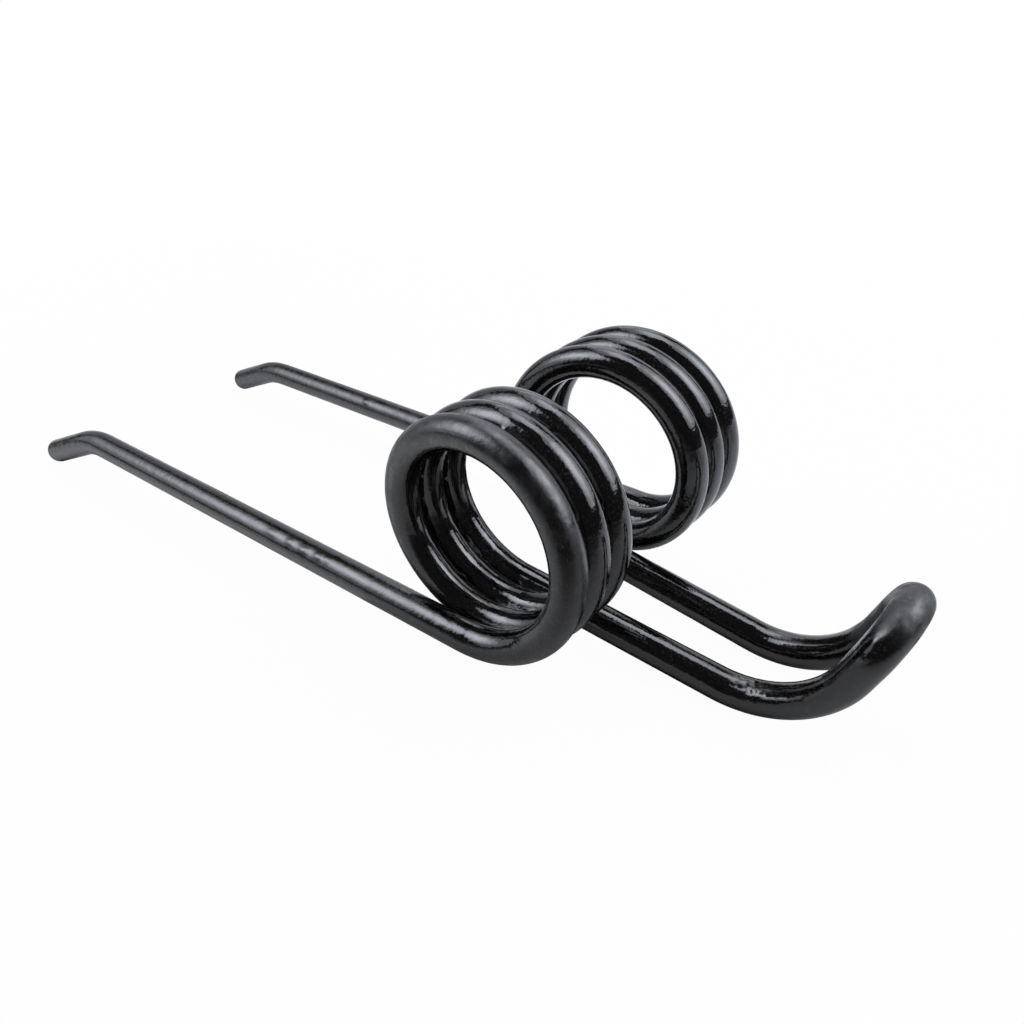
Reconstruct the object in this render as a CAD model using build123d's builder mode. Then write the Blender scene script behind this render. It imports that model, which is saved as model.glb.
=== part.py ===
"""Double torsion spring, wound from one length of round wire.

Two coils of opposite hand sit side by side on the Y axis. From the outer end
of each coil a long straight arm runs towards -X and ends in a tip that is
bent down and slightly outwards. From the inner end of each coil a short leg runs towards +X and
turns up into a bow, which joins the two halves. Everything lies on one
centre line, and the two halves mirror each other across the XZ plane.

Units are millimetres and degrees. The origin is on the coil axis, midway
between the coils, and the spring lies on its tips and heels as it would rest
on a floor.
"""

from build123d import *

import os
from math import asin, atan2, cos, degrees, hypot, radians, sin

# Wire
wire_diameter = 10.0
tip_edge_radius = 1.5  # rounded edge of each cut end

# Coils
coil_inner_diameter = 52.0
whole_turns = 3  # turns of one coil, counted from the line of the arm
turn_gap = 0.5  # clearance between neighbouring turns

# Arms
arm_length = 190.5  # straight run of an arm
tip_bend_radius = 40.0
tip_bend_angle = 23.6
tip_splay_angle = 11.5  # turn of the bend about its arm, which spreads the tips
tip_length = 27.5  # straight run past the bend, to the cut end

# Legs and bow
leg_gap = 19.4  # clear gap between the legs where they leave the coils
leg_drop_angle = 6.3  # how far the legs point below the line of the arms
leg_toe_in_angle = 2.0  # how far each leg leans towards the other
leg_length = 64.0
heel_bend_radius = 32.0
heel_bend_angle = 76.0
bow_rise = 6.0  # straight run between the heel's bend and the bow's

# Small turns that lead the wire out of the slope of the coil
lead_radius = 60.0

# Worked out from the sizes above
wire_radius = wire_diameter / 2
coil_radius = (coil_inner_diameter + wire_diameter) / 2
turn_pitch = wire_diameter + turn_gap
coil_turns = whole_turns - leg_drop_angle / 360
coil_length = turn_pitch * coil_turns
leg_offset = (leg_gap + wire_diameter) / 2
arm_offset = leg_offset + coil_length
bow_lean_angle = heel_bend_angle - leg_drop_angle

# Headings of the wire on the +Y half, seen from the coil
arm_heading = Vector(-1, 0, 0)
tip_heading = arm_heading.rotate(Axis.Y, -tip_bend_angle).rotate(Axis.X, tip_splay_angle)
leg_heading = Vector(1, 0, 0).rotate(Axis.Z, -leg_toe_in_angle).rotate(Axis.Y, leg_drop_angle)
bow_heading = Vector(cos(radians(bow_lean_angle)), 0, sin(radians(bow_lean_angle)))
middle_heading = Vector(0, -1, 0)


def run(start, heading, length):
    """Straight stretch of the centre line."""
    return Line(start, start + heading * length)


def turn(start, heading, new_heading, radius):
    """Arc that turns the centre line smoothly from one heading to another."""
    half_angle = radians(heading.get_angle(new_heading)) / 2
    chord = (heading + new_heading).normalized() * 2 * radius * sin(half_angle)
    return TangentArc(start, start + chord, tangent=heading)


def wind_coil():
    """Coil of the +Y half, from the bottom of its outer end to the leg."""
    outer_end = (0, arm_offset, 0)
    return Helix(turn_pitch, coil_length, coil_radius, center=outer_end, direction=(0, -1, 0))


def lead_out_arm(coil):
    """Arm and tip of the +Y half; returns the tip's straight run."""
    lead = turn(coil @ 0, -(coil % 0), arm_heading, lead_radius)
    arm = run(lead @ 1, arm_heading, arm_length)
    tip_bend = turn(arm @ 1, arm_heading, tip_heading, tip_bend_radius)
    return run(tip_bend @ 1, tip_heading, tip_length)


def lead_out_leg(coil):
    """Leg and half bow of the +Y half; returns the leg's straight run."""
    lead = turn(coil @ 1, coil % 1, leg_heading, lead_radius)
    leg = run(lead @ 1, leg_heading, leg_length)
    heel = turn(leg @ 1, leg_heading, bow_heading, heel_bend_radius)
    rise = run(heel @ 1, bow_heading, bow_rise)
    turn(rise @ 1, bow_heading, middle_heading, (rise @ 1).Y)
    return leg


def rest_angle(tip, leg):
    """Turn about Y that lays the tips and the heels on a level floor.

    Seen from the side, the floor is the line under two circles: the rounded
    edge of a tip's end and the outside of a heel's bend.
    """
    tip_down = (tip_heading * tip_heading.Z - Vector(0, 0, 1)).normalized()
    leg_up = Vector(sin(radians(leg_drop_angle)), 0, cos(radians(leg_drop_angle)))
    tip_centre = tip @ 1 - tip_heading * tip_edge_radius
    tip_centre += tip_down * (wire_radius - tip_edge_radius)
    heel_centre = leg @ 1 + leg_up * heel_bend_radius
    span = heel_centre - tip_centre
    radius_step = heel_bend_radius + wire_radius - tip_edge_radius
    return degrees(atan2(span.Z, span.X) - asin(radius_step / hypot(span.X, span.Z)))


with BuildLine() as centre_line:
    coil = wind_coil()
    tip = lead_out_arm(coil)
    leg = lead_out_leg(coil)
    mirror(about=Plane.XZ)

with BuildPart() as drawn_wire:
    route = centre_line.wire()
    with BuildSketch(Plane(origin=route @ 0, z_dir=route % 0)):
        Circle(wire_radius)
    sweep(path=route)
    cut_ends = drawn_wire.faces().filter_by(GeomType.PLANE)
    fillet(cut_ends.edges(), tip_edge_radius)

with BuildPart() as spring_wire:
    with Locations(Rotation(0, rest_angle(tip, leg), 0)):
        add(drawn_wire.part)

spring_wire.part.label = "spring_wire"

os.makedirs("parts", exist_ok=True)
export_step(spring_wire.part, "parts/spring_wire.step")
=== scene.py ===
"""Looks of the double torsion spring: its black gloss paint, and a studio to show it in.

The wire is one skin swept along the same centre line as the solid, and it
replaces that solid. Its surface has what thick gloss paint leaves on wire: long
soft waves, webs of paint between the turns, a few rough places where the paint
gathered or was knocked, and orange peel. Lengths are in metres and angles in
degrees; an azimuth is measured from +Y towards +X.
"""

import math

import bpy
import numpy as np
from mathutils import Euler, Matrix, Vector, noise


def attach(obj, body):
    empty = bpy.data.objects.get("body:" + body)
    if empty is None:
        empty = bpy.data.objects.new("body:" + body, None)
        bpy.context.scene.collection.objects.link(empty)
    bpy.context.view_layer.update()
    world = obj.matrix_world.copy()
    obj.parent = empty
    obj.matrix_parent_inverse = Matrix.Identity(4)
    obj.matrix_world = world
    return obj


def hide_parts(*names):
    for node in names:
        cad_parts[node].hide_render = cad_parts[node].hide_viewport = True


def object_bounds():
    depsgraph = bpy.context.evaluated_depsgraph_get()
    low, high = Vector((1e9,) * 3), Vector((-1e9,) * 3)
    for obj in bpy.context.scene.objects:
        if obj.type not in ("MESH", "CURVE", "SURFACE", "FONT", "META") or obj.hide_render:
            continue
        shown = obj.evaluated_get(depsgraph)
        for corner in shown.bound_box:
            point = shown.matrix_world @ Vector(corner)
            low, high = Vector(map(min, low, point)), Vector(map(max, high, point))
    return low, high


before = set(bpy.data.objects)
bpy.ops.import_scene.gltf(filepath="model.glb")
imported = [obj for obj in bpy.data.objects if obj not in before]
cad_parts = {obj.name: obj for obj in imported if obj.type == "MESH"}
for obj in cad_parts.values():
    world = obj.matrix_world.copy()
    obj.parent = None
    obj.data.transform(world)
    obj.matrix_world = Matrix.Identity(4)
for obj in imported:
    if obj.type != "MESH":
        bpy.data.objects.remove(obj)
cad_low, cad_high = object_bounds()

MM = 0.001

# The spring's sizes
WIRE_RADIUS = 5.0 * MM
TIP_EDGE_RADIUS = 1.5 * MM
COIL_RADIUS = 31.0 * MM
TURN_PITCH = 10.5 * MM
WHOLE_TURNS = 3
ARM_LENGTH = 190.5 * MM
TIP_BEND_RADIUS = 40.0 * MM
TIP_BEND_ANGLE = 23.6
TIP_SPLAY_ANGLE = 11.5
TIP_LENGTH = 27.5 * MM
LEG_GAP = 19.4 * MM
LEG_DROP_ANGLE = 6.3
LEG_TOE_IN_ANGLE = 2.0
LEG_LENGTH = 64.0 * MM
HEEL_BEND_RADIUS = 32.0 * MM
HEEL_BEND_ANGLE = 76.0
BOW_RISE = 6.0 * MM
LEAD_RADIUS = 60.0 * MM

COIL_TURNS = WHOLE_TURNS - LEG_DROP_ANGLE / 360
LEG_OFFSET = LEG_GAP / 2 + WIRE_RADIUS
ARM_OFFSET = LEG_OFFSET + TURN_PITCH * COIL_TURNS

# How finely the skin is made
LINE_STEP = 0.25 * MM
RING_POINTS = 48
STRAIGHT_SPACING = 2.2 * MM
BEND_SPACING = 1.3 * MM
ROUGH_SPACING = 0.55 * MM
FINE_REACH = 1.5  # how far from a rough place's middle rings are close, as shares of its reach
EDGE_RINGS = 6  # round the edge of a cut end
CUT_RINGS = (0.5, 0.2)  # on its flat, as shares of the wire's radius
EDGE_CLEAR = 1.05 * TIP_EDGE_RADIUS  # the wire's own rings stop this far from a cut end
STRAIGHT_LIMIT = 1e-6  # below this change of heading a step of the line is straight
WRINKLES_FROM = 0.02  # nearness to a rough place from which it has wrinkles

# The paint's skin
PAINT_SINK = 0.03 * MM  # how far the skin lies inside the bare wire, before its relief
SEED_SHIFT = Vector((17.0, 5.0, 11.0))  # from one seed's noise to the next one's, in bumps
WAVE_DEPTH, WAVE_SIZE = 0.05 * MM, 16.0 * MM
RIPPLE_DEPTH, RIPPLE_SIZE = 0.02 * MM, 4.5 * MM
WEB_SWELL, WEB_SIZE = 0.46 * MM, 3.5 * MM
WEB_FADE = 1.5 * MM
WEB_REACH = COIL_RADIUS + 0.6 * WIRE_RADIUS  # how far from the coils' axis there can be webs
WEB_FACING = (0.87, 0.98)  # how squarely the skin faces the next turn
WEB_LOW, WEB_HIGH = -0.6 * COIL_RADIUS, 0.7 * COIL_RADIUS  # they thin out between these heights
WEB_LOW_SHARE, WEB_RAGGED = 0.6, (0.3, 0.55)
WRINKLE_SIZE = 1.7 * MM
GLOSS_KEPT = (0.2, 0.6)  # how far the skin faces the coils' axis, where it keeps its gloss

# The paint's material: each noise as repeats in a metre and detail, and the depth of its relief
PAINT_IOR = 1.77
PAINT_BLACK = (0.001, 0.001, 0.0012, 1)
PAINT_DUST = (0.047, 0.042, 0.036, 1)
CLOUD, MOTTLE, GRAIN = (90.0, 4.0), (300.0, 5.0), (1600.0, 2.5)
DENT, DENT_DEPTH = (330.0, 2.0), 0.12 * MM
PEEL, PEEL_DEPTH = (1100.0, 2.5), 0.025 * MM
STREAK, STREAK_DEPTH = (1.0, 2.0), 0.04 * MM
STREAK_SPACE = (40, 900, 900)  # repeats in a metre along the wire, and across it twice
GLOSS_CLOUD, GLOSS_ROUGHNESS = (0.3, 0.7), (0.06, 0.14)
DULL_MOTTLE, DULL_ROUGHNESS = (0.38, 0.62), (0.25, 0.5)
DUSTY_CLOUD, DUSTY = (0.35, 0.65), (0.15, 1.0)
DUST_GRAIN = (0.54, 0.72)

# Rough places: middle, reach along X, reach across, and height of the wrinkles, in millimetres
ROUGH_PLACES = {
    "near_heel": ((71, -14, -34), 7, 5, 0.13),
    "near_heel_end": ((84, -16, -29), 4, 3, 0.05),
    "near_arm": ((-78, -48, -25), 30, 2.5, 0.02),
    "near_arm_start": ((-14, -47, -27), 10, 3, 0.02),
    "far_arm": ((-120, 46, -26), 24, 3, 0.012),
    "bow_top": ((99, -5, 1), 8, 10, 0.13),
    "second_turn_top": ((5, -33, 35), 8, 4, 0.05),
    "third_turn_top": ((5, -23, 35), 8, 4, 0.05),
    "far_turn_top": ((12, 17, 33), 7, 4, 0.03),
    "inside_low": ((-3, -30, -26), 9, 8, 0.05),
    "inside_back": ((-22, -31, 15), 8, 9, 0.04),
}

# Drops of paint that set on the wire: middle, reach along X, reach across, and height, in millimetres
DROPS = {
    "arm_first": ((-75.3, -49.0, -25.6), 1.6, 1.0, 0.3),
    "arm_second": ((-68.5, -49.2, -25.9), 2.2, 1.1, 0.34),
    "arm_third": ((-61.5, -49.0, -25.9), 2.0, 1.0, 0.32),
    "arm_fourth": ((-57.5, -48.5, -25.7), 1.4, 0.9, 0.24),
    "arm_wave": ((-84.5, -49.1, -25.5), 2.6, 1.0, 0.2),
    "far_arm": ((-135.1, 42.8, -24.9), 1.9, 1.1, 0.34),
    "bow": ((97.0, -13.5, -5.1), 1.3, 1.3, 0.3),
}

# Duller stretches of paint: start and end along the wire from the far tip, in millimetres, and dullness
DULL_STRETCHES = {
    "far_arm": (0, 240, 0.45),
    "bow": (925, 956, 1.2),
    "near_outer_turn": (1480, 1665, 0.6),
    "near_arm": (1665, 1903, 0.22),
}
DULL_FADE = 9.0  # how far past each end they fade out, in millimetres

# The studio: camera and lamps
CAMERA_PLACE = Vector((122.6, -180.7, 123.3)) * MM
CAMERA_AZIMUTH = -38.42
CAMERA_TILT = 31.67
CAMERA_ROLL = -1.41
CAMERA_LENS = 29.0
CAMERA_SENSOR = 36.0
CAMERA_SEES = (0.01, 20.0)  # nearest and farthest
LAMP_DISTANCE = 1.2
LAMP_COLOUR = (0.95, 0.99, 1.07)
ROOM_COLOUR = (0.05, 0.05, 0.054, 1)
WHITE = (1, 1, 1, 1)

# The studio: paper that runs under the spring and the camera, and sweeps up into a backdrop
PAPER_FRONT = 4.0  # how far it runs towards the camera and past it
PAPER_BACK = 2.2  # how far behind the spring it sweeps up
PAPER_SWEEP_RADIUS, PAPER_SWEEP_STEPS = 0.7, 24
PAPER_WALL = 1.5
PAPER_HALF_WIDTH = 3.5
PAPER_COLOUR = (0.61, 0.60, 0.58, 1)
PAPER_ROUGHNESS = 0.12
SHADOW_SHOWN = 0.03  # share of its shading that the camera sees round the spring
SHADOW_NEAR, SHADOW_FAR = 0.25, 0.9  # that share fades out between these distances

# Painted light on the paper: where reflections see it glow plain white, standing in for lamp light on it
MIRRORED = 0.8
MIRRORED_FROM, MIRRORED_FULL = 0.05, 0.35  # along Y
MIRRORED_LEFT, MIRRORED_RIGHT, MIRRORED_LEFT_SHARE = -2.6, -1.9, 0.5  # along X
PAINTED_LIGHT_PLACE = (0.0, 0.27)  # painted light: the paper behind the spring glows fully white in reflections here
PAINTED_LIGHT_REACH, PAINTED_LIGHT_FADE = 0.34, 0.14

# Painted shadow: a dark card on the floor below the camera, for the shade where the photographer stood
CARD_LEFT, CARD_BACK, CARD_SIZE = -0.05, 0.04, 1.5
CARD_FADE_X, CARD_FADE_Y = 0.10, 0.21  # how far in from the left and from the back it grows dark
CARD_SHADOW_COLOUR = (0.09, 0.085, 0.08, 1)
CARD_ROUGHNESS = 0.9
CARD_LIFT = 1.0 * MM


def unit(vector):
    return np.asarray(vector, float) / np.linalg.norm(vector)


def unit_rows(vectors):
    return vectors / np.linalg.norm(vectors, axis=1)[:, None]


def turned(vector, axis, angle):
    """A vector, or rows of them, turned about the X, Y or Z axis."""
    matrix = Matrix.Rotation(math.radians(angle), 3, axis)
    return np.asarray(vector, float) @ np.array(matrix).T


class WirePath:
    """Centre line laid end to end from straights and arcs, as points a short step apart."""

    def __init__(self, start, heading):
        self.points = [np.asarray(start, float)]
        self.heading = unit(heading)

    def run(self, length):
        start = self.points[-1]
        for along in np.linspace(0, length, math.ceil(length / LINE_STEP) + 1)[1:]:
            self.points.append(start + self.heading * along)

    def turn(self, heading, radius):
        start, first, last = self.points[-1], self.heading, unit(heading)
        whole = math.acos(np.clip(first @ last, -1, 1))
        side = unit(last - first * (first @ last))
        for angle in np.linspace(0, whole, math.ceil(whole * radius / LINE_STEP) + 1)[1:]:
            step = first * math.sin(angle) + side * (1 - math.cos(angle))
            self.points.append(start + step * radius)
        self.heading = last


def wind_coil():
    """Points of the +Y coil, from the bottom of its outer end, and the headings at its two ends."""
    whole = 2 * math.pi * COIL_TURNS
    angle = np.linspace(0, whole, math.ceil(whole * COIL_RADIUS / LINE_STEP) + 1)
    rise = TURN_PITCH / (2 * math.pi)
    out, along, up = COIL_RADIUS * np.sin(angle), ARM_OFFSET - rise * angle, -COIL_RADIUS * np.cos(angle)
    first = (COIL_RADIUS, -rise, 0)
    last = (COIL_RADIUS * math.cos(whole), -rise, COIL_RADIUS * math.sin(whole))
    return np.stack([out, along, up], 1), unit(first), unit(last)


def half_centre_line():
    """Centre line of the +Y half, from the tip's cut end to the middle of the bow, lying as it rests."""
    coil, first, last = wind_coil()
    tip_heading = turned(turned((-1, 0, 0), "Y", -TIP_BEND_ANGLE), "X", TIP_SPLAY_ANGLE)
    leg_heading = turned(turned((1, 0, 0), "Z", -LEG_TOE_IN_ANGLE), "Y", LEG_DROP_ANGLE)
    bow_heading = turned((1, 0, 0), "Y", LEG_DROP_ANGLE - HEEL_BEND_ANGLE)

    arm = WirePath(coil[0], -first)
    arm.turn((-1, 0, 0), LEAD_RADIUS)
    arm.run(ARM_LENGTH)
    arm.turn(tip_heading, TIP_BEND_RADIUS)
    arm.run(TIP_LENGTH)

    leg = WirePath(coil[-1], last)
    leg.turn(leg_heading, LEAD_RADIUS)
    leg.run(LEG_LENGTH)
    heel_centre = leg.points[-1] + turned((0, 0, 1), "Y", LEG_DROP_ANGLE) * HEEL_BEND_RADIUS
    leg.turn(bow_heading, HEEL_BEND_RADIUS)
    leg.run(BOW_RISE)
    leg.turn((0, -1, 0), leg.points[-1][1])

    tip_down = unit(tip_heading * tip_heading[2] - (0, 0, 1))
    tip_centre = arm.points[-1] - tip_heading * TIP_EDGE_RADIUS
    tip_centre += tip_down * (WIRE_RADIUS - TIP_EDGE_RADIUS)
    span = heel_centre - tip_centre
    radius_step = HEEL_BEND_RADIUS + WIRE_RADIUS - TIP_EDGE_RADIUS
    rest = math.atan2(span[2], span[0]) - math.asin(radius_step / math.hypot(span[0], span[2]))
    return turned(np.concatenate([arm.points[::-1], coil[1:-1], leg.points]), "Y", math.degrees(rest))


def nearness(points, place):
    """How near each point is to a rough place or drop: 1 at its middle, fading to 0 outside it."""
    middle, along, across, _ = place
    reach = np.array([along, across, across]) * MM
    away = (points - np.array(middle) * MM) / reach
    return np.exp(-(away**2).sum(-1))


def ring_centres():
    """Places of the skin's rings along the whole wire, closer where it bends or is rough."""
    half = half_centre_line()
    line = np.concatenate([half, half[-2::-1] * (1, -1, 1)])
    heading = unit_rows(np.gradient(line, axis=0))
    bending = np.linalg.norm(np.gradient(heading, axis=0), axis=1) > STRAIGHT_LIMIT
    spacing = np.where(bending, BEND_SPACING, STRAIGHT_SPACING)
    # Rough places lie on the surface, so the box round each is wider by the wire's radius
    for middle, along, across, _ in [*ROUGH_PLACES.values(), *DROPS.values()]:
        reach = np.array([along, across, across]) * MM * FINE_REACH + (0, WIRE_RADIUS, WIRE_RADIUS)
        fine = (np.abs(line - np.array(middle) * MM) < reach).all(1)
        spacing[fine] = np.minimum(spacing[fine], ROUGH_SPACING)
    step = np.linalg.norm(np.diff(line, axis=0), axis=1)
    count = np.concatenate([[0], np.cumsum(step / spacing[1:])])
    wanted = np.linspace(0, count[-1], round(count[-1]) + 1)
    return np.stack([np.interp(wanted, count, line[:, axis]) for axis in range(3)], 1)


def ring_axes(centres):
    """Tangent of the wire at each ring, and two directions across it that never twist."""
    tangent = unit_rows(np.gradient(centres, axis=0))
    across = np.zeros_like(centres)
    across[0] = unit(np.cross(tangent[0], (0, 1, 0)))
    for i in range(1, len(centres)):
        across[i] = unit(across[i - 1] - tangent[i] * (across[i - 1] @ tangent[i]))
    return tangent, across, np.cross(tangent, across)


def smooth(value, low, high):
    """0 below low, 1 above high, and a smooth step between."""
    t = np.clip((value - low) / (high - low), 0, 1)
    return t * t * (3 - 2 * t)


def noise_at(points, size, seed=0):
    """Smooth noise between about -1 and 1 at each point, with bumps of this size."""
    shift = SEED_SHIFT * seed
    return np.array([noise.noise(Vector(p) / size + shift) for p in points])


def paint_height(surface, outward, centre):
    """How far the paint stands off the bare wire at each point of the skin."""
    wave = 0.5 + 0.5 * noise_at(surface, WAVE_SIZE)
    height = -PAINT_SINK - WAVE_DEPTH * wave
    height += RIPPLE_DEPTH * noise_at(surface, RIPPLE_SIZE, seed=1)

    # Webs: paint that closes the gap to the next turn, most of it low in the coils
    side = np.sign(outward[:, 1])
    neighbour = np.abs(centre[:, 1] + side * TURN_PITCH)
    coiled = np.hypot(centre[:, 0], centre[:, 2]) < WEB_REACH
    beside = coiled * smooth(neighbour, LEG_OFFSET - WEB_FADE, LEG_OFFSET + WEB_FADE)
    beside *= 1 - smooth(neighbour, ARM_OFFSET - WEB_FADE, ARM_OFFSET + WEB_FADE)
    facing = smooth(np.abs(outward[:, 1]), *WEB_FACING)
    low = 1 - smooth(centre[:, 2], WEB_LOW, WEB_HIGH)
    ragged = smooth(noise_at(surface, WEB_SIZE, seed=3) + WEB_LOW_SHARE * low, *WEB_RAGGED)
    height += WEB_SWELL * beside * facing * ragged

    # Wrinkles in the rough places, and drops
    for place in ROUGH_PLACES.values():
        share = nearness(surface, place)
        inside = share > WRINKLES_FROM
        if inside.any():
            wrinkle = noise_at(surface[inside], WRINKLE_SIZE, seed=7)
            wrinkle += 0.5 * noise_at(surface[inside], WRINKLE_SIZE / 2, seed=8)
            height[inside] += place[3] * MM * share[inside] * wrinkle
    for drop in DROPS.values():
        height += drop[3] * MM * nearness(surface, drop)
    return height


def cut_end(rim, middle, inward):
    """Rings that close an end of the skin: its rounded edge, then the flat cut."""
    rings = []
    for angle in np.radians(np.linspace(0, 90, EDGE_RINGS)):
        shrink = TIP_EDGE_RADIUS / WIRE_RADIUS * (1 - math.cos(angle))
        back = TIP_EDGE_RADIUS * (1 - math.sin(angle))
        rings.append(middle + (rim - middle) * (1 - shrink) + inward * back)
    rings += [middle + (rim - middle) * share for share in CUT_RINGS]
    return rings


def wire_skin():
    """The painted wire, from the far tip's cut end to the near one's."""
    centres = ring_centres()
    tangent, across, upward = ring_axes(centres)
    angle = np.linspace(0, 2 * math.pi, RING_POINTS, endpoint=False)[None, :, None]
    outward = across[:, None] * np.cos(angle) + upward[:, None] * np.sin(angle)
    bare = centres[:, None] + outward * WIRE_RADIUS
    centre = np.repeat(centres, RING_POINTS, axis=0)
    height = paint_height(bare.reshape(-1, 3), outward.reshape(-1, 3), centre)
    surface = bare + outward * height.reshape(len(centres), RING_POINTS, 1)

    first, last = centres[0], centres[-1]
    past_edge = np.linalg.norm(centres - first, axis=1) > EDGE_CLEAR
    past_edge &= np.linalg.norm(centres - last, axis=1) > EDGE_CLEAR
    rings = cut_end(surface[0], first, tangent[0])[::-1]
    rings += list(surface[past_edge])
    rings += cut_end(surface[-1], last, -tangent[-1])
    rings = np.clip(np.array(rings), cad_low, cad_high)

    faces = []
    for i in range(len(rings) - 1):
        here, there = i * RING_POINTS, (i + 1) * RING_POINTS
        for j in range(RING_POINTS):
            k = (j + 1) % RING_POINTS
            faces.append((here + j, here + k, there + k, there + j))
    faces.append(tuple(range(RING_POINTS))[::-1])
    faces.append(tuple(range(there, there + RING_POINTS)))

    mesh = bpy.data.meshes.new("painted_wire")
    mesh.from_pydata(rings.reshape(-1, 3).tolist(), [], faces)
    mesh.validate()
    mesh.shade_smooth()
    write_wire_space(mesh, rings)
    return in_scene("painted_wire", mesh)


def write_wire_space(mesh, rings):
    """Keeps each point's place along and around the wire, and how dull the paint is there."""
    middles = rings.mean(1)
    along = np.concatenate([[0], np.cumsum(np.linalg.norm(np.diff(middles, axis=0), axis=1))])
    angle = np.linspace(0, 2 * math.pi, RING_POINTS, endpoint=False)
    space = np.zeros((len(rings), RING_POINTS, 3))
    space[..., 0] = along[:, None]
    space[..., 1] = WIRE_RADIUS * np.cos(angle)
    space[..., 2] = WIRE_RADIUS * np.sin(angle)
    mesh.attributes.new("wire_space", "FLOAT_VECTOR", "POINT").data.foreach_set("vector", space.ravel())

    dullness = np.zeros(len(rings))
    for start, end, level in DULL_STRETCHES.values():
        inside = smooth(along / MM, start - DULL_FADE, start) * (1 - smooth(along / MM, end, end + DULL_FADE))
        dullness = np.maximum(dullness, level * inside)
    inward = unit_rows(middles * (-1, 0, -1))
    facing_in = ((rings - middles[:, None]) * inward[:, None]).sum(-1) / WIRE_RADIUS
    coiled = np.hypot(middles[:, 0], middles[:, 2]) < COIL_RADIUS + WIRE_RADIUS
    kept_gloss = coiled[:, None] * smooth(facing_in, *GLOSS_KEPT)
    dullness = (dullness[:, None] * (1 - kept_gloss)).ravel()
    mesh.attributes.new("dullness", "FLOAT", "POINT").data.foreach_set("value", dullness)


def add_node(tree, kind, fields=None, **values):
    """New node with these fields and socket values; a link goes in where a value is a socket."""
    node = tree.nodes.new(kind)
    for name, value in (fields or {}).items():
        setattr(node, name, value)
    for name, value in values.items():
        socket = node.inputs[name.replace("_", " ")]
        if isinstance(value, bpy.types.NodeSocket):
            tree.links.new(value, socket)
        else:
            socket.default_value = value
    return node


def add_math(tree, operation, first, second):
    """Output of a new Math node; first is a socket, and second a socket or a number."""
    node = tree.nodes.new("ShaderNodeMath")
    node.operation = operation
    tree.links.new(first, node.inputs[0])
    if isinstance(second, bpy.types.NodeSocket):
        tree.links.new(second, node.inputs[1])
    else:
        node.inputs[1].default_value = second
    return node.outputs[0]


def add_range(tree, value, low, high, first=0.0, last=1.0):
    """Output of a new Map Range node, which takes low..high to first..last."""
    limits = {"From_Min": low, "From_Max": high, "To_Min": first, "To_Max": last}
    return add_node(tree, "ShaderNodeMapRange", Value=value, **limits).outputs[0]


def add_distance(tree, place, point):
    """Output of a new node: how far a place is from this point."""
    node = add_node(tree, "ShaderNodeVectorMath", {"operation": "DISTANCE"})
    tree.links.new(place, node.inputs[0])
    node.inputs[1].default_value = point
    return node.outputs["Value"]


def add_noise(tree, place, scale, detail):
    """Output of a new Noise Texture node."""
    return add_node(tree, "ShaderNodeTexNoise", Vector=place, Scale=scale, Detail=detail).outputs[0]


def mix_colours(tree, share, first, second):
    """Output of a new node that goes from the first colour to the second."""
    node = add_node(tree, "ShaderNodeMix", {"data_type": "RGBA"}, Factor=share)
    node.inputs["A"].default_value = first
    node.inputs["B"].default_value = second
    return node.outputs["Result"]


def mix_shaders(tree, share, first, second, ending):
    """Goes from the first shader to the second, into the tree's last node."""
    node = add_node(tree, "ShaderNodeMixShader", Fac=share)
    tree.links.new(first, node.inputs[1])
    tree.links.new(second, node.inputs[2])
    tree.links.new(node.outputs[0], tree.nodes[ending].inputs["Surface"])


def new_material(name):
    """New material, its node tree and its shader."""
    material = bpy.data.materials.new(name)
    material.use_nodes = True
    return material, material.node_tree, material.node_tree.nodes["Principled BSDF"]


def in_scene(name, data):
    """New object that holds this mesh, lamp or camera, linked into the scene."""
    thing = bpy.data.objects.new(name, data)
    bpy.context.scene.collection.objects.link(thing)
    return thing


def black_paint():
    """Black paint, gloss in places and dull in others, with orange peel, streaks and dust."""
    material, tree, shader = new_material("black_paint")
    shader.inputs["IOR"].default_value = PAINT_IOR

    place = add_node(tree, "ShaderNodeTexCoord").outputs["Object"]
    wire_space = add_node(tree, "ShaderNodeAttribute", {"attribute_name": "wire_space"})
    wire_space = wire_space.outputs["Vector"]
    streak_space = add_node(tree, "ShaderNodeMapping", Vector=wire_space, Scale=STREAK_SPACE)
    streak = add_noise(tree, streak_space.outputs[0], *STREAK)
    dent = add_noise(tree, place, *DENT)
    peel = add_noise(tree, place, *PEEL)
    cloud = add_noise(tree, place, *CLOUD)
    mottle = add_noise(tree, place, *MOTTLE)
    grain = add_noise(tree, place, *GRAIN)
    dullness = add_node(tree, "ShaderNodeAttribute", {"attribute_name": "dullness"}).outputs["Fac"]

    # Roughness: gloss, a little uneven, and more and mottled where the paint is dull
    gloss = add_range(tree, cloud, *GLOSS_CLOUD, *GLOSS_ROUGHNESS)
    dull = add_range(tree, mottle, *DULL_MOTTLE, *DULL_ROUGHNESS)
    dull = add_math(tree, "MULTIPLY", dullness, dull)
    rough = add_math(tree, "ADD", gloss, dull)

    # Dust: fine specks, more of them in some patches
    dusty = add_range(tree, cloud, *DUSTY_CLOUD, *DUSTY)
    dust = add_math(tree, "MULTIPLY", dusty, add_range(tree, grain, *DUST_GRAIN))
    colour = mix_colours(tree, dust, PAINT_BLACK, PAINT_DUST)

    # Relief: dents, orange peel and streaks, one on another
    bump = add_node(tree, "ShaderNodeBump", Height=dent, Distance=DENT_DEPTH)
    for height, depth in ((peel, PEEL_DEPTH), (streak, STREAK_DEPTH)):
        bump = add_node(tree, "ShaderNodeBump", Height=height, Distance=depth, Normal=bump.outputs[0])

    tree.links.new(colour, shader.inputs["Base Color"])
    tree.links.new(rough, shader.inputs["Roughness"])
    tree.links.new(bump.outputs[0], shader.inputs["Normal"])
    return material


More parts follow.
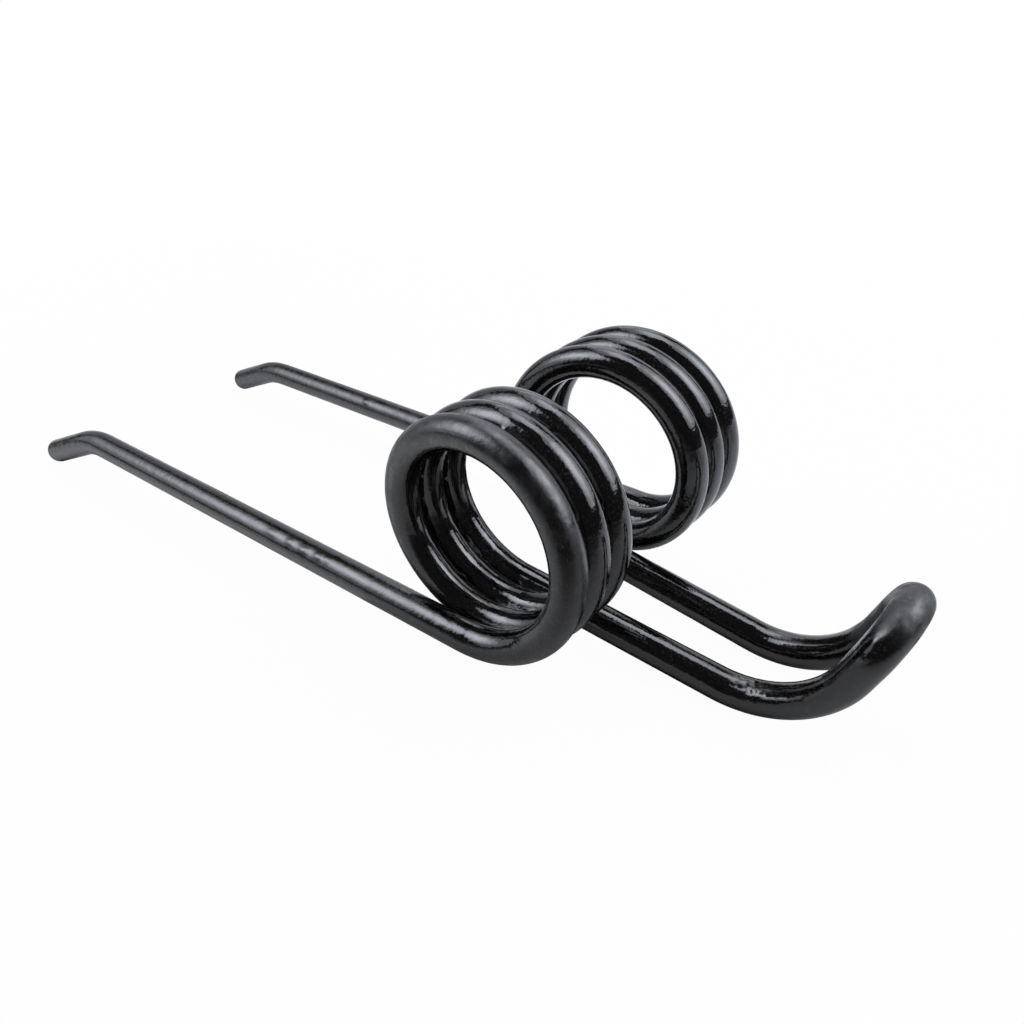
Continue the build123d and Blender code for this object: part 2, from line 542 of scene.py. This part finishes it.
def toward(azimuth, elevation):
    """Unit vector at this azimuth and this elevation above the floor."""
    a, e = math.radians(azimuth), math.radians(elevation)
    return Vector((math.sin(a) * math.cos(e), math.cos(a) * math.cos(e), math.sin(e)))


def softbox(name, azimuth, elevation, facing, lean, width, height, glow, reach, edge, core):
    """Softbox at this azimuth and elevation, whose face looks down at the facing angle.

    Its light fades from its hottest point, glow, to the edge's level within
    reach, where the face runs from 0 to 1 each way. Edge and core are how bright
    it looks, where white paper in plain light is 1.
    """
    lamp = bpy.data.lights.new(name, "AREA")
    lamp.shape = "RECTANGLE"
    lamp.size = width
    lamp.size_y = height
    lamp.energy = math.pi * width * height
    lamp.color = LAMP_COLOUR
    lamp.use_nodes = True
    tree = lamp.node_tree
    place = add_node(tree, "ShaderNodeNewGeometry").outputs["Parametric"]
    away = add_distance(tree, place, (*glow, 0))
    limits = {"From_Max": reach, "To_Min": core, "To_Max": edge}
    fade = add_node(tree, "ShaderNodeMapRange", {"interpolation_type": "SMOOTHSTEP"}, Value=away, **limits)
    tree.links.new(fade.outputs[0], tree.nodes["Emission"].inputs["Strength"])

    back, up = toward(azimuth, facing), toward(azimuth, facing + 90)
    turn = Matrix((up.cross(back), up, back)).transposed() @ Matrix.Rotation(math.radians(lean), 3, "Z")
    holder = in_scene(name, lamp)
    holder.matrix_world = Matrix.Translation(toward(azimuth, elevation) * LAMP_DISTANCE) @ turn.to_4x4()
    holder.visible_camera = False


def white_paper():
    """Smooth white paper, which the camera sees as plain white with a faint shadow.

    Reflections see it glow plain white too, painted light that stands in for
    lamp light on the paper, tinted like the lamps: in a patch behind the spring
    and, nearly as much, farther back, though less far to the left. Elsewhere
    they see the paper as the lamps light it.
    """
    material, tree, shader = new_material("white_paper")
    shader.inputs["Base Color"].default_value = PAPER_COLOUR
    shader.inputs["Roughness"].default_value = PAPER_ROUGHNESS

    place = add_node(tree, "ShaderNodeTexCoord").outputs["Object"]
    across = add_node(tree, "ShaderNodeSeparateXYZ", Vector=place)
    path = add_node(tree, "ShaderNodeLightPath")

    # How white the camera sees it
    away = add_distance(tree, place, (0, 0, 0))
    seen = add_range(tree, away, SHADOW_NEAR, SHADOW_FAR, 1 - SHADOW_SHOWN, 1.0)
    seen = add_math(tree, "MULTIPLY", seen, path.outputs["Is Camera Ray"])

    # Painted light: how white reflections see it, a glow in a patch behind the spring and farther back
    behind = add_range(tree, across.outputs["Y"], MIRRORED_FROM, MIRRORED_FULL, 0.0, MIRRORED)
    left = add_range(tree, across.outputs["X"], MIRRORED_LEFT, MIRRORED_RIGHT, MIRRORED_LEFT_SHARE, 1.0)
    behind = add_math(tree, "MULTIPLY", behind, left)
    from_patch = add_distance(tree, place, (*PAINTED_LIGHT_PLACE, cad_low.z))
    patch = add_range(tree, from_patch, PAINTED_LIGHT_REACH - PAINTED_LIGHT_FADE, PAINTED_LIGHT_REACH, 1.0, 0.0)
    mirrored = add_math(tree, "MAXIMUM", patch, behind)
    mirrored = add_math(tree, "MULTIPLY", mirrored, path.outputs["Is Glossy Ray"])

    # Painted light: in reflections the glow takes the lamps' colour
    tint = mix_colours(tree, path.outputs["Is Glossy Ray"], WHITE, (*LAMP_COLOUR, 1))
    white = add_node(tree, "ShaderNodeEmission", Color=tint, Strength=1.0)
    most = add_math(tree, "MAXIMUM", seen, mirrored)
    mix_shaders(tree, most, shader.outputs[0], white.outputs[0], "Material Output")
    return material


def studio_paper():
    """Floor that runs under the spring and the camera and sweeps up into a backdrop."""
    away = toward(CAMERA_AZIMUTH, 0)
    side = Vector((away.y, -away.x, 0))
    sweep = [(PAPER_BACK + PAPER_SWEEP_RADIUS * math.sin(t), PAPER_SWEEP_RADIUS * (1 - math.cos(t)))
             for t in np.linspace(0, math.pi / 2, PAPER_SWEEP_STEPS + 1)]
    profile = [(-PAPER_FRONT, 0.0), *sweep, (sweep[-1][0], sweep[-1][1] + PAPER_WALL)]
    points = []
    for out, up in profile:
        for across in (-PAPER_HALF_WIDTH, PAPER_HALF_WIDTH):
            points.append(away * out + side * across + Vector((0, 0, cad_low.z + up)))
    faces = [(2 * i, 2 * i + 1, 2 * i + 3, 2 * i + 2) for i in range(len(profile) - 1)]
    mesh = bpy.data.meshes.new("studio_paper")
    mesh.from_pydata([tuple(p) for p in points], [], faces)
    mesh.shade_smooth()
    mesh.materials.append(white_paper())
    return in_scene("studio_paper", mesh)


def painted_shadow_card():
    """Painted shadow: a dark card on the floor below the camera, standing in for the shade where the
    photographer stood; only reflections see it.
    """
    material, tree, shader = new_material("painted_shadow_card")
    shader.inputs["Roughness"].default_value = CARD_ROUGHNESS
    shader.inputs["Specular IOR Level"].default_value = 0.0
    place = add_node(tree, "ShaderNodeTexCoord").outputs["Object"]
    place = add_node(tree, "ShaderNodeSeparateXYZ", Vector=place)
    from_left = add_range(tree, place.outputs["X"], CARD_LEFT, CARD_LEFT + CARD_FADE_X)
    from_back = add_range(tree, place.outputs["Y"], CARD_BACK, CARD_BACK - CARD_FADE_Y)
    shade = add_math(tree, "MULTIPLY", from_left, from_back)
    # Painted shadow: the card darkens from the paper's colour in from its left and back edges
    colour = mix_colours(tree, shade, PAPER_COLOUR, CARD_SHADOW_COLOUR)
    tree.links.new(colour, shader.inputs["Base Color"])

    right, front = CARD_LEFT + CARD_SIZE, CARD_BACK - CARD_SIZE
    outline = ((CARD_LEFT, CARD_BACK), (CARD_LEFT, front), (right, front), (right, CARD_BACK))
    corners = [(x, y, cad_low.z + CARD_LIFT) for x, y in outline]
    mesh = bpy.data.meshes.new("painted_shadow_card")
    mesh.from_pydata(corners, [], [tuple(range(len(corners)))])
    mesh.materials.append(material)
    card = in_scene("painted_shadow_card", mesh)
    card.visible_camera = False
    card.visible_diffuse = False
    card.visible_shadow = False
    return card


def studio_room():
    """Dim room around the lamps, which the camera sees as plain white past the paper."""
    world = bpy.data.worlds.new("studio_room")
    world.use_nodes = True
    tree = world.node_tree
    dim = tree.nodes["Background"]
    dim.inputs["Color"].default_value = ROOM_COLOUR
    white = add_node(tree, "ShaderNodeBackground", Color=WHITE, Strength=1.0)
    seen = add_node(tree, "ShaderNodeLightPath").outputs["Is Camera Ray"]
    mix_shaders(tree, seen, dim.outputs[0], white.outputs[0], "World Output")
    bpy.context.scene.world = world


def photo_camera():
    """Camera close above the bow, looking along the arms."""
    data = bpy.data.cameras.new("photo_camera")
    data.lens = CAMERA_LENS
    data.sensor_width = CAMERA_SENSOR
    data.clip_start, data.clip_end = CAMERA_SEES
    look = Euler((math.radians(90 - CAMERA_TILT), 0, math.radians(-CAMERA_AZIMUTH))).to_matrix()
    look = look @ Matrix.Rotation(math.radians(CAMERA_ROLL), 3, "Z")
    camera = in_scene("photo_camera", data)
    camera.matrix_world = Matrix.Translation(CAMERA_PLACE) @ look.to_4x4()
    bpy.context.scene.camera = camera


wire = wire_skin()
wire.data.materials.append(black_paint())
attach(wire, "root")
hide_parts("spring_wire")

studio_paper()
painted_shadow_card()
studio_room()
softbox("left_softbox", azimuth=-119, elevation=31, facing=37, lean=6, width=1.10, height=1.37,
        glow=(0.61, 0.64), reach=0.54, edge=0.75, core=5.5)
softbox("right_softbox", azimuth=50, elevation=60, facing=29, lean=-12, width=1.38, height=1.77,
        glow=(0.46, 0.36), reach=0.47, edge=1.45, core=5.5)
softbox("top_softbox", azimuth=-34, elevation=45, facing=90, lean=-5, width=0.64, height=1.54,
        glow=(0.45, 0.82), reach=0.42, edge=0.95, core=3.6)
photo_camera()
bpy.context.scene.view_settings.view_transform = "Standard"
